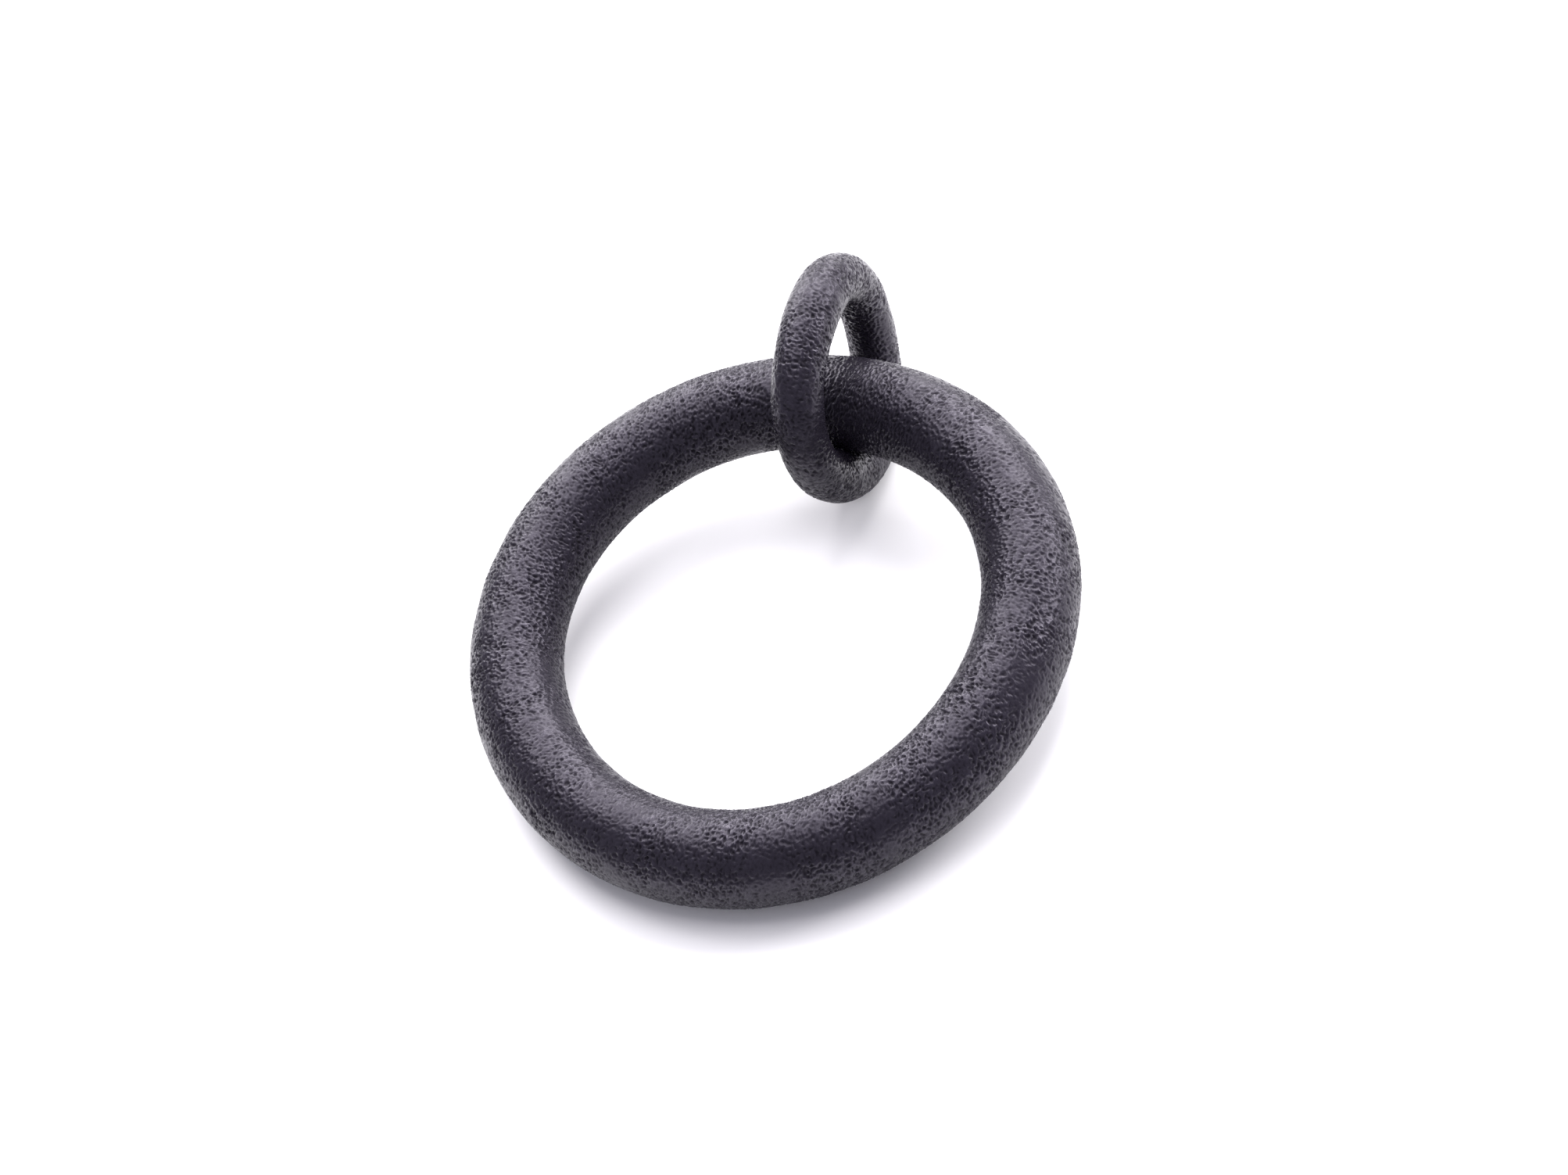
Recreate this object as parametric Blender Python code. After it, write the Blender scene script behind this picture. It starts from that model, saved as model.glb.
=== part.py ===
"""Ring door knocker: a heavy knocker ring linked through a small hanging ring.

Both rings are closed loops of round iron bar, bent by hand, so each one is a little out
of round and its bar is a little thicker in one place than in another. The pair is set down
on a flat surface: the hanging ring stands on edge, the knocker ring's bar rests in it, and
the knocker ring's far side lies on the surface.

Metres, +Z up. The origin is on the surface, under the middle of the pair's box. +X runs
along the knocker ring's bar where it passes through the hanging ring, which is the axis
that the knocker ring swings on, and +Y points from the knocker ring to the hanging ring.
"""

from math import asin, cos, pi, radians, sin, tau

import bpy
from mathutils import Euler, Vector

# Driving dimensions: bars are measured over their coat
KNOCKER_BAR = 0.0152
KNOCKER_INSIDE = 0.0696
HANGING_BAR = 0.0084
HANGING_INSIDE = 0.0242

# How the pair lies
CLEARANCE = 0.00035  # air between the two bars where they touch
SEAT_ANGLE = radians(20)  # the bar rests this far up the hole's near side from its bottom
HANGING_LEAN = radians(3.5)  # the hanging ring's top leans towards -X
HANGING_TURN = radians(1.5)  # and it stands turned this far about +Z
CROSSING_ANGLE = pi / 2  # where on the knocker ring the hanging ring sits

# Hand bending: each wave is (waves round the ring, height in metres, crest in degrees)
KNOCKER_BEND = [(2, 0.00008, -60), (3, 0.00025, 115), (4, 0.00008, 75)]
KNOCKER_SWELL = [(1, 0.00009, 40), (2, 0.00009, 90)]
HANGING_BEND = [(3, 0.00068, 118)]
HANGING_SWELL = [(2, 0.00012, 180)]

# Smoothness
KNOCKER_STEPS = 96
KNOCKER_BEVEL = 8  # gives the bar 20 sides
HANGING_STEPS = 60
HANGING_BEVEL = 6  # gives the bar 16 sides

BLACK_COAT = (0.052, 0.048, 0.058, 1.0)  # linear colour of the coat


class BarRing:
    """A closed ring of round bar in its own plane, with the waves of hand bending."""

    def __init__(self, inside, bar, bend, swell):
        self.bar_radius = bar / 2
        self.radius = inside / 2 + self.bar_radius
        self.bend = bend
        self.swell = swell

    @staticmethod
    def wave(waves, angle):
        return sum(height * cos(count * angle - radians(crest)) for count, height, crest in waves)

    def radius_at(self, angle):
        return self.radius + self.wave(self.bend, angle)

    def bar_radius_at(self, angle):
        return self.bar_radius + self.wave(self.swell, angle)

    def point(self, angle):
        return Vector((cos(angle), sin(angle), 0.0)) * self.radius_at(angle)


def clear_scene():
    for old in list(bpy.data.objects):
        bpy.data.objects.remove(old, do_unlink=True)


def coat_material():
    """Black textured coat over iron: matt, with a faint violet cast."""
    material = bpy.data.materials.new("black_coat")
    material.use_nodes = True
    shader = material.node_tree.nodes["Principled BSDF"]
    shader.inputs["Base Color"].default_value = BLACK_COAT
    shader.inputs["Metallic"].default_value = 0.0
    shader.inputs["Roughness"].default_value = 0.55
    material.diffuse_color = BLACK_COAT
    return material


def sweep_ring(name, ring, origin, steps, bevel_resolution, collection, material):
    """The ring as a bevelled closed curve, with its object's origin at a point of its plane."""
    curve = bpy.data.curves.new(name, "CURVE")
    curve.dimensions = "3D"
    curve.bevel_depth = ring.bar_radius
    curve.bevel_resolution = bevel_resolution
    spline = curve.splines.new("POLY")
    spline.points.add(steps - 1)
    spline.use_cyclic_u = True
    spline.use_smooth = True
    for step, point in enumerate(spline.points):
        angle = tau * step / steps
        point.co = (*(ring.point(angle) - origin), 1.0)
        point.radius = ring.bar_radius_at(angle) / ring.bar_radius
    curve.materials.append(material)
    obj = bpy.data.objects.new(name, curve)
    collection.objects.link(obj)
    return obj


def lowest_offset(ring, rotation):
    """How far the ring's lowest point lies below its centre, once it is turned."""
    count = 720
    drops = []
    for step in range(count):
        angle = tau * step / count
        along = ring.point(angle + tau / count) - ring.point(angle - tau / count)
        along = (rotation @ along).normalized()
        dip = ring.bar_radius_at(angle) * (1.0 - along.z**2) ** 0.5
        drops.append((rotation @ ring.point(angle)).z - dip)
    return -min(drops)


def knocker_rotation(ring, crossing_height):
    """Tilts the knocker ring about X until its far side touches the surface."""
    tilt = asin((crossing_height - ring.bar_radius) / (2 * ring.radius))
    for _ in range(12):
        rotation = Euler((tilt, 0.0, 0.0)).to_matrix()
        centre_height = crossing_height - (rotation @ ring.point(CROSSING_ANGLE)).z
        tilt += (centre_height - lowest_offset(ring, rotation)) / ring.radius / 2
    return rotation


def hanging_rotation():
    """Stands the hanging ring on edge: its own X becomes +Y, and its own Y points up."""
    upright = Euler((pi / 2, 0.0, pi / 2)).to_matrix()
    leaning = Euler((0.0, -HANGING_LEAN, HANGING_TURN)).to_matrix()
    return leaning @ upright


def seat_offset(hanging, knocker):
    """From the bar's centre to the hanging ring's centre, in the plane square to the bar.

    The bar moves from the hole's middle towards its seat until CLEARANCE is left.
    """
    seat = -pi / 2 - SEAT_ANGLE
    towards = Vector((cos(seat), sin(seat), 0.0))
    travel = 0.0
    count = 720
    for _ in range(12):
        bar = towards * travel
        wall = min(
            (hanging.point(tau * step / count) - bar).length
            - hanging.bar_radius_at(tau * step / count)
            for step in range(count)
        )
        travel += wall - knocker.bar_radius_at(CROSSING_ANGLE) - CLEARANCE
    return -travel * Vector((0.0, cos(seat), sin(seat)))


def world_box(objects):
    graph = bpy.context.evaluated_depsgraph_get()
    corners = []
    for obj in objects:
        shown = obj.evaluated_get(graph)
        mesh = shown.to_mesh()
        corners += [obj.matrix_world @ vertex.co for vertex in mesh.vertices]
        shown.to_mesh_clear()
    low = Vector([min(corner[axis] for corner in corners) for axis in range(3)])
    high = Vector([max(corner[axis] for corner in corners) for axis in range(3)])
    return low, high


def build():
    clear_scene()
    collection = bpy.data.collections.new("ring_door_knocker")
    bpy.context.scene.collection.children.link(collection)
    material = coat_material()

    knocker = BarRing(KNOCKER_INSIDE, KNOCKER_BAR, KNOCKER_BEND, KNOCKER_SWELL)
    hanging = BarRing(HANGING_INSIDE, HANGING_BAR, HANGING_BEND, HANGING_SWELL)

    # The hanging ring stands on the surface, and the knocker ring's bar sits in its hole
    upright = hanging_rotation()
    seat = seat_offset(hanging, knocker)
    crossing_height = lowest_offset(hanging, upright) - seat.z
    crossing = Vector((0.0, 0.0, crossing_height))
    tilted = knocker_rotation(knocker, crossing_height)

    hanging_ring = sweep_ring(
        "hanging_ring", hanging, Vector(), HANGING_STEPS, HANGING_BEVEL, collection, material
    )
    hanging_ring.rotation_euler = upright.to_euler()
    hanging_ring.location = crossing + seat

    # The knocker ring's origin is on the axis that it swings on
    knocker_ring = sweep_ring(
        "knocker_ring", knocker, knocker.point(CROSSING_ANGLE),
        KNOCKER_STEPS, KNOCKER_BEVEL, collection, material,
    )
    knocker_ring.rotation_euler = tilted.to_euler()
    knocker_ring.location = crossing

    # The pair's box is centred over the origin and stands on it
    bpy.context.view_layer.update()
    low, high = world_box([hanging_ring, knocker_ring])
    shift = Vector((-(low.x + high.x) / 2, -(low.y + high.y) / 2, -low.z))
    for ring_object in (hanging_ring, knocker_ring):
        ring_object.location += shift
    bpy.context.view_layer.update()


build()
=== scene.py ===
"""The looks of a ring door knocker: two linked rings of black coated, hand-bent iron bar."""

from math import cos, pi, radians, sin, tau

import bpy
import numpy as np
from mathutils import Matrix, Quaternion, Vector, noise


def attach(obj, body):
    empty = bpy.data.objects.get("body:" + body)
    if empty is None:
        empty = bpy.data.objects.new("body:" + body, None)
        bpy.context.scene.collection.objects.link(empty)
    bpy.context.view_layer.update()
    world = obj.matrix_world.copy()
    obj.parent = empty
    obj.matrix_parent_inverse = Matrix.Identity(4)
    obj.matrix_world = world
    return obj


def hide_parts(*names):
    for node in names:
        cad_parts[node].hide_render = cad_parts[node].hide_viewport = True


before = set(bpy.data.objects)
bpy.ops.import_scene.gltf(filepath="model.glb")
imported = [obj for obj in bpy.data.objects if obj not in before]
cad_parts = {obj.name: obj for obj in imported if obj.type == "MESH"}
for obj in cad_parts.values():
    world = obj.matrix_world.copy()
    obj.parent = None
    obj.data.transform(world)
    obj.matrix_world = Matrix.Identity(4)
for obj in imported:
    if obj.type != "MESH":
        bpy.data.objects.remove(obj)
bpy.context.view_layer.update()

MM = 0.001

# Camera: the long side's angle of view is 28 degrees
CAMERA_FROM = Vector((191.8, -274.7, 384.0)) * MM
CAMERA_AIM = Vector((-6.0, 9.1, 0.0)) * MM
CAMERA_ROLL = radians(-21.1)
SENSOR_WIDTH = 36.0
LENS = 71.8

# Light: square lamps round the pair, all at one distance, and a pale violet fill
SOFTBOX_SIZE = 0.5
SOFTBOX_DISTANCE = 0.9
SOFTBOXES = (  # name, bearing and lean in degrees, power in watts
    ("top", 0, 0, 3.0),
    ("back_high", 0, 35, 5.6),
    ("back_low", 0, 60, 6.4),
    ("left_high", -60, 35, 4.2),
    ("left_low", -45, 62, 6.2),
    ("right_low", 45, 62, 8.0),
)
LAMP_COLOUR = (1.0, 0.98, 1.0)
FILL_COLOUR = (0.9, 0.88, 1.0, 1.0)
FILL_STRENGTH = 0.7

FLOOR_SIZE = 6.0
FLOOR_COLOUR = (0.9, 0.9, 0.9, 1.0)

# Skin of the rings
SKIN_STEP = 0.18 * MM  # size of a mesh face
SHAPE_WAVES = 5  # the CAD centre line is read as this many waves round the ring

# Relief of the coat, as real geometry
WRINKLE_SIZE = 0.70 * MM
WRINKLE_HEIGHT = 0.36 * MM
WRINKLE_WANDER = 0.35  # how far the wrinkles stray from their lines, in wrinkle sizes
GRAIN_SIZE = 0.50 * MM
GRAIN_HEIGHT = 0.06 * MM
GRAIN_STRETCH = 1.5  # the wrinkles run across the bar, so the relief is finer along it
PATCH_SIZE = 9.0 * MM  # where the coat lies smoother or rougher
MEAN_RELIEF = 0.85  # shares of the full relief, for patches between least and most
RELIEF_RANGE = 0.8
LEAST_RELIEF = 0.4
MOST_RELIEF = 1.25
LUMP_SIZE = 9.0 * MM
LUMP_HEIGHT = 0.10 * MM

# A run of thick coat inside the hanging ring, low on its near side, closes the sight line
# under the bar
RUN_ANGLE = radians(-142)
RUN_WIDTH = radians(12)
RUN_HEIGHT = 0.45 * MM

# The crests are worn flat where the two rings bear on each other
CROSSING = np.array((0.04, 35.10, 17.65)) * MM  # middle of the knocker bar, in the hanging ring
WORN_LENGTH = 18.0 * MM
WORN_HEIGHT = 0.08 * MM

# Colour and gloss of the coat: the crests are paler and glossier than the creases; the darker
# colour of the creases is painted shade in the hollows of the relief
CREASE_AT = 0.1  # crest value at which the look of the creases is full
CREST_AT = 0.9
# painted shade: the base colour in the creases is darker than on the crests
CREASE_SHADE_COLOUR = (0.0060, 0.0052, 0.0080)
CREST_COLOUR = (0.0120, 0.0106, 0.0160)
CREASE_ROUGHNESS = 0.44
CREST_ROUGHNESS = 0.17
CREASE_SPECULAR = 0.13
CREST_SPECULAR = 0.42
SPECULAR_TINT = (0.90, 0.84, 1.0, 1.0)
CLOUD_SIZE = 6.0 * MM
CLOUD_DARK = (0.75, 0.70, 0.78)
CLOUD_PALE = (1.15, 1.12, 1.15)
PORE_SIZE = 0.35 * MM  # below what the mesh can hold, so as bump only
PORE_DEPTH = 0.04 * MM
PORE_STRENGTH = 0.8

noise.seed_set(7)  # the noise vectors would change from run to run without a seed


# ---- reading the CAD rings ----


def node_points(node):
    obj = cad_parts[node]
    points = np.empty(len(obj.data.vertices) * 3)
    obj.data.vertices.foreach_get("co", points)
    return points.reshape(-1, 3)


def split_at_gaps(angles):
    """Indices of the points of each section, for angles that bunch up at every section."""
    order = np.argsort(angles)
    gaps = np.diff(angles[order])
    cuts = np.flatnonzero(gaps > 0.5 * gaps.max()) + 1
    sections = np.split(order, cuts)
    if tau - angles[order[-1]] + angles[order[0]] < 0.5 * gaps.max():
        sections[0] = np.concatenate([sections.pop(), sections[0]])
    return sections


def wave_terms(angles, waves):
    """Columns 1, cos a, sin a, cos 2a, sin 2a ... for a fit or a read-back."""
    columns = [np.ones_like(angles)]
    for count in range(1, waves + 1):
        columns += [np.cos(count * angles), np.sin(count * angles)]
    return np.stack(columns, axis=1)


def turned_from(start, angles):
    """How far each angle is from the start, between -pi and pi."""
    return (angles - start + pi) % tau - pi


class CadRing:
    """Centre line and bar radius of a CAD ring, as smooth functions of the angle round it."""

    def __init__(self, node, side):
        """Read the ring of a node; its normal is taken towards the side given."""
        points = node_points(node)
        self.middle = points.mean(axis=0)
        _, _, axes = np.linalg.svd(points - self.middle, full_matrices=False)
        self.normal = axes[2] * np.sign(axes[2] @ np.array(side))
        steady = (0.0, 0.0, 1.0) if abs(self.normal[2]) < 0.5 else (0.0, 1.0, 0.0)
        self.across = np.cross(steady, self.normal)
        self.across /= np.linalg.norm(self.across)
        self.along = np.cross(self.normal, self.across)

        sections = split_at_gaps(self.angle_of(points) % tau)
        centres = np.array([points[section].mean(axis=0) for section in sections])
        radii = np.array([
            np.linalg.norm(points[section] - centre, axis=1).mean()
            for section, centre in zip(sections, centres)
        ])
        spokes = centres - self.middle
        reach = np.hypot(spokes @ self.along, spokes @ self.across)
        terms = wave_terms(self.angle_of(centres), SHAPE_WAVES)
        self.reach_fit = np.linalg.lstsq(terms, reach, rcond=None)[0]
        self.rise_fit = np.linalg.lstsq(terms, spokes @ self.normal, rcond=None)[0]
        self.bar_fit = np.linalg.lstsq(terms, radii, rcond=None)[0]
        self.reach = reach.mean()
        self.bar = radii.mean()

    def angle_of(self, places):
        """Angle round the ring, from its across axis towards its along axis."""
        spokes = places - self.middle
        return np.arctan2(spokes @ self.along, spokes @ self.across)

    def sweep(self, angles):
        """Centre points, bar radii and the outward direction in the ring's plane."""
        terms = wave_terms(angles, SHAPE_WAVES)
        spokes = np.cos(angles)[:, None] * self.across + np.sin(angles)[:, None] * self.along
        centres = self.middle + (terms @ self.reach_fit)[:, None] * spokes
        centres = centres + (terms @ self.rise_fit)[:, None] * self.normal
        ahead = np.roll(centres, -1, axis=0) - np.roll(centres, 1, axis=0)
        outward = np.cross(ahead, self.normal)
        outward /= np.linalg.norm(outward, axis=1)[:, None]
        return centres, terms @ self.bar_fit, outward


# ---- the skin: wrinkles, grain and dents as real geometry ----


def skin_height(place, seed):
    """Height of the coat over the smooth bar at a place on the stretched ring, and its crest.

    The crest is about 0 in the creases of the relief and about 1 on its ridges.
    """
    shift = Vector((seed, seed * 1.7, -seed * 2.3))
    patch = noise.noise(place / PATCH_SIZE + shift)
    share = min(max(MEAN_RELIEF + RELIEF_RANGE * patch, LEAST_RELIEF), MOST_RELIEF)
    wander = noise.noise_vector(place / (1.6 * WRINKLE_SIZE) + shift)
    bent = place + WRINKLE_WANDER * WRINKLE_SIZE * wander
    fold = abs(noise.noise(bent / WRINKLE_SIZE + shift * 3.0))
    wrinkle = 0.5 - 2.6 * fold
    grain = noise.noise(place / GRAIN_SIZE - shift)
    lump = noise.noise(place / LUMP_SIZE + shift * 5.0)
    relief = 0.5 * WRINKLE_HEIGHT * wrinkle + GRAIN_HEIGHT * grain
    return LUMP_HEIGHT * lump + share * relief, 0.5 + 0.6 * share * (wrinkle + 0.6 * grain)


def skin(name, ring, seed, run_height):
    """A dense closed skin over a CAD ring, pushed in and out by its relief."""
    around = int(tau * ring.reach / SKIN_STEP)
    girth = int(tau * ring.bar / SKIN_STEP)
    angles = np.arange(around) * tau / around
    turns = np.arange(girth) * tau / girth
    centres, bars, outward = ring.sweep(angles)

    bar_cos = np.cos(turns)[None, :]
    bar_sin = np.sin(turns)[None, :]
    stretched = ring.reach * GRAIN_STRETCH + ring.bar * bar_cos
    places = np.stack([
        stretched * np.cos(angles)[:, None],
        stretched * np.sin(angles)[:, None],
        np.broadcast_to(ring.bar * bar_sin, (around, girth)),
    ], axis=2)
    reliefs = np.array([skin_height(Vector(place), seed) for place in places.reshape(-1, 3)])
    heights = reliefs[:, 0].reshape(around, girth)
    worn = np.abs(turned_from(ring.angle_of(CROSSING), angles)) * ring.reach < 0.5 * WORN_LENGTH
    heights[worn] = np.minimum(heights[worn], WORN_HEIGHT)
    beyond = turned_from(RUN_ANGLE, angles)[:, None]
    inside = np.maximum(-bar_cos, 0.0)
    heights = heights + run_height * np.exp(-(beyond / RUN_WIDTH) ** 2) * inside

    outs = outward[:, None, :] * bar_cos[..., None] + ring.normal * bar_sin[..., None]
    radii = bars[:, None] + heights
    points = centres[:, None, :] + radii[..., None] * outs

    index = np.arange(around * girth).reshape(around, girth)
    ahead = np.roll(index, -1, axis=0)
    beside = np.roll(index, -1, axis=1)
    corner = np.roll(ahead, -1, axis=1)
    faces = np.stack([index, ahead, corner, beside], axis=2).reshape(-1, 4)

    mesh = bpy.data.meshes.new(name)
    mesh.from_pydata(points.reshape(-1, 3).tolist(), [], faces.tolist())
    mesh.attributes.new("crest", "FLOAT", "POINT").data.foreach_set("value", reliefs[:, 1])
    mesh.shade_smooth()
    obj = bpy.data.objects.new(name, mesh)
    bpy.context.scene.collection.objects.link(obj)
    return obj


# ---- materials ----


def coat_material(name):
    """Matt black textured coat: charcoal with a faint violet cast, glossier on the crests, with
    painted shade darkening the creases.
    """
    material = bpy.data.materials.new(name)
    material.use_nodes = True
    nodes = material.node_tree.nodes
    links = material.node_tree.links
    shader = nodes["Principled BSDF"]
    place = nodes.new("ShaderNodeTexCoord").outputs["Object"]

    def cloudy(size, rough):
        node = nodes.new("ShaderNodeTexNoise")
        node.inputs["Scale"].default_value = 1.0 / size
        node.inputs["Detail"].default_value = 3.0
        node.inputs["Roughness"].default_value = rough
        links.new(place, node.inputs["Vector"])
        return node.outputs["Fac"]

    def ramp(source, low, low_colour, high, high_colour):
        node = nodes.new("ShaderNodeValToRGB")
        stops = ((low, low_colour), (high, high_colour))
        for element, (position, colour) in zip(node.color_ramp.elements, stops):
            element.position = position
            element.color = (*colour, 1.0)
        links.new(source, node.inputs["Fac"])
        return node.outputs["Color"]

    relief = nodes.new("ShaderNodeAttribute")
    relief.attribute_name = "crest"
    crest = relief.outputs["Fac"]

    def by_crest(in_crease, on_crest):
        return ramp(crest, CREASE_AT, (in_crease,) * 3, CREST_AT, (on_crest,) * 3)

    cloud_and_crease_shade = nodes.new("ShaderNodeMix")
    cloud_and_crease_shade.data_type = "RGBA"
    cloud_and_crease_shade.blend_type = "MULTIPLY"
    cloud_and_crease_shade.inputs["Factor"].default_value = 1.0
    links.new(ramp(cloudy(CLOUD_SIZE, 0.55), 0.3, CLOUD_DARK, 0.7, CLOUD_PALE), cloud_and_crease_shade.inputs["A"])
    # painted shade: the base colour darkens from the crests into the creases of the relief
    links.new(ramp(crest, CREASE_AT, CREASE_SHADE_COLOUR, CREST_AT, CREST_COLOUR), cloud_and_crease_shade.inputs["B"])
    links.new(cloud_and_crease_shade.outputs["Result"], shader.inputs["Base Color"])
    links.new(by_crest(CREASE_ROUGHNESS, CREST_ROUGHNESS), shader.inputs["Roughness"])
    links.new(by_crest(CREASE_SPECULAR, CREST_SPECULAR), shader.inputs["Specular IOR Level"])
    shader.inputs["Specular Tint"].default_value = SPECULAR_TINT

    pores = nodes.new("ShaderNodeBump")
    pores.inputs["Strength"].default_value = PORE_STRENGTH
    pores.inputs["Distance"].default_value = PORE_DEPTH
    links.new(cloudy(PORE_SIZE, 0.6), pores.inputs["Height"])
    links.new(pores.outputs["Normal"], shader.inputs["Normal"])
    return material


def floor_material():
    material = bpy.data.materials.new("white_sweep")
    material.use_nodes = True
    shader = material.node_tree.nodes["Principled BSDF"]
    shader.inputs["Base Color"].default_value = FLOOR_COLOUR
    shader.inputs["Roughness"].default_value = 1.0
    shader.inputs["Specular IOR Level"].default_value = 0.0
    return material


# ---- stage ----


def add_floor():
    bpy.ops.mesh.primitive_plane_add(size=FLOOR_SIZE, location=(0.0, 0.0, 0.0))
    floor = bpy.context.object
    floor.name = "floor"
    floor.data.materials.append(floor_material())


def add_camera():
    data = bpy.data.cameras.new("camera")
    data.sensor_width = SENSOR_WIDTH
    data.lens = LENS
    data.clip_start = 0.01
    data.clip_end = 20.0
    camera = bpy.data.objects.new("camera", data)
    camera.location = CAMERA_FROM
    level = (CAMERA_AIM - CAMERA_FROM).to_track_quat("-Z", "Y")
    camera.rotation_mode = "QUATERNION"
    camera.rotation_quaternion = level @ Quaternion((0.0, 0.0, 1.0), CAMERA_ROLL)
    bpy.context.scene.collection.objects.link(camera)
    bpy.context.scene.camera = camera


def add_softbox(name, bearing, lean, power):
    """A square lamp: bearing is clockwise from +Y, lean is from straight up."""
    data = bpy.data.lights.new(name, "AREA")
    data.shape = "SQUARE"
    data.size = SOFTBOX_SIZE
    data.energy = power
    data.color = LAMP_COLOUR
    towards = Vector((sin(bearing) * sin(lean), cos(bearing) * sin(lean), cos(lean)))
    lamp = bpy.data.objects.new(name, data)
    lamp.location = towards * SOFTBOX_DISTANCE
    lamp.rotation_euler = towards.to_track_quat("Z", "Y").to_euler()
    bpy.context.scene.collection.objects.link(lamp)


def add_light():
    world = bpy.data.worlds.new("studio")
    world.use_nodes = True
    background = world.node_tree.nodes["Background"]
    background.inputs["Color"].default_value = FILL_COLOUR
    background.inputs["Strength"].default_value = FILL_STRENGTH
    bpy.context.scene.world = world
    for name, bearing, lean, power in SOFTBOXES:
        add_softbox(name, radians(bearing), radians(lean), power)
    bpy.context.scene.view_settings.view_transform = "Standard"


def add_rings():
    for name, side, seed, run_height in (
        ("knocker_ring", (0.0, 0.0, 1.0), 3.0, 0.0),
        ("hanging_ring", (1.0, 0.0, 0.0), 11.0, RUN_HEIGHT),
    ):
        piece = skin(name + "_skin", CadRing(name, side), seed, run_height)
        piece.data.materials.append(coat_material(name + "_coat"))
        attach(piece, name)
        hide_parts(name)


add_camera()
add_floor()
add_light()
add_rings()
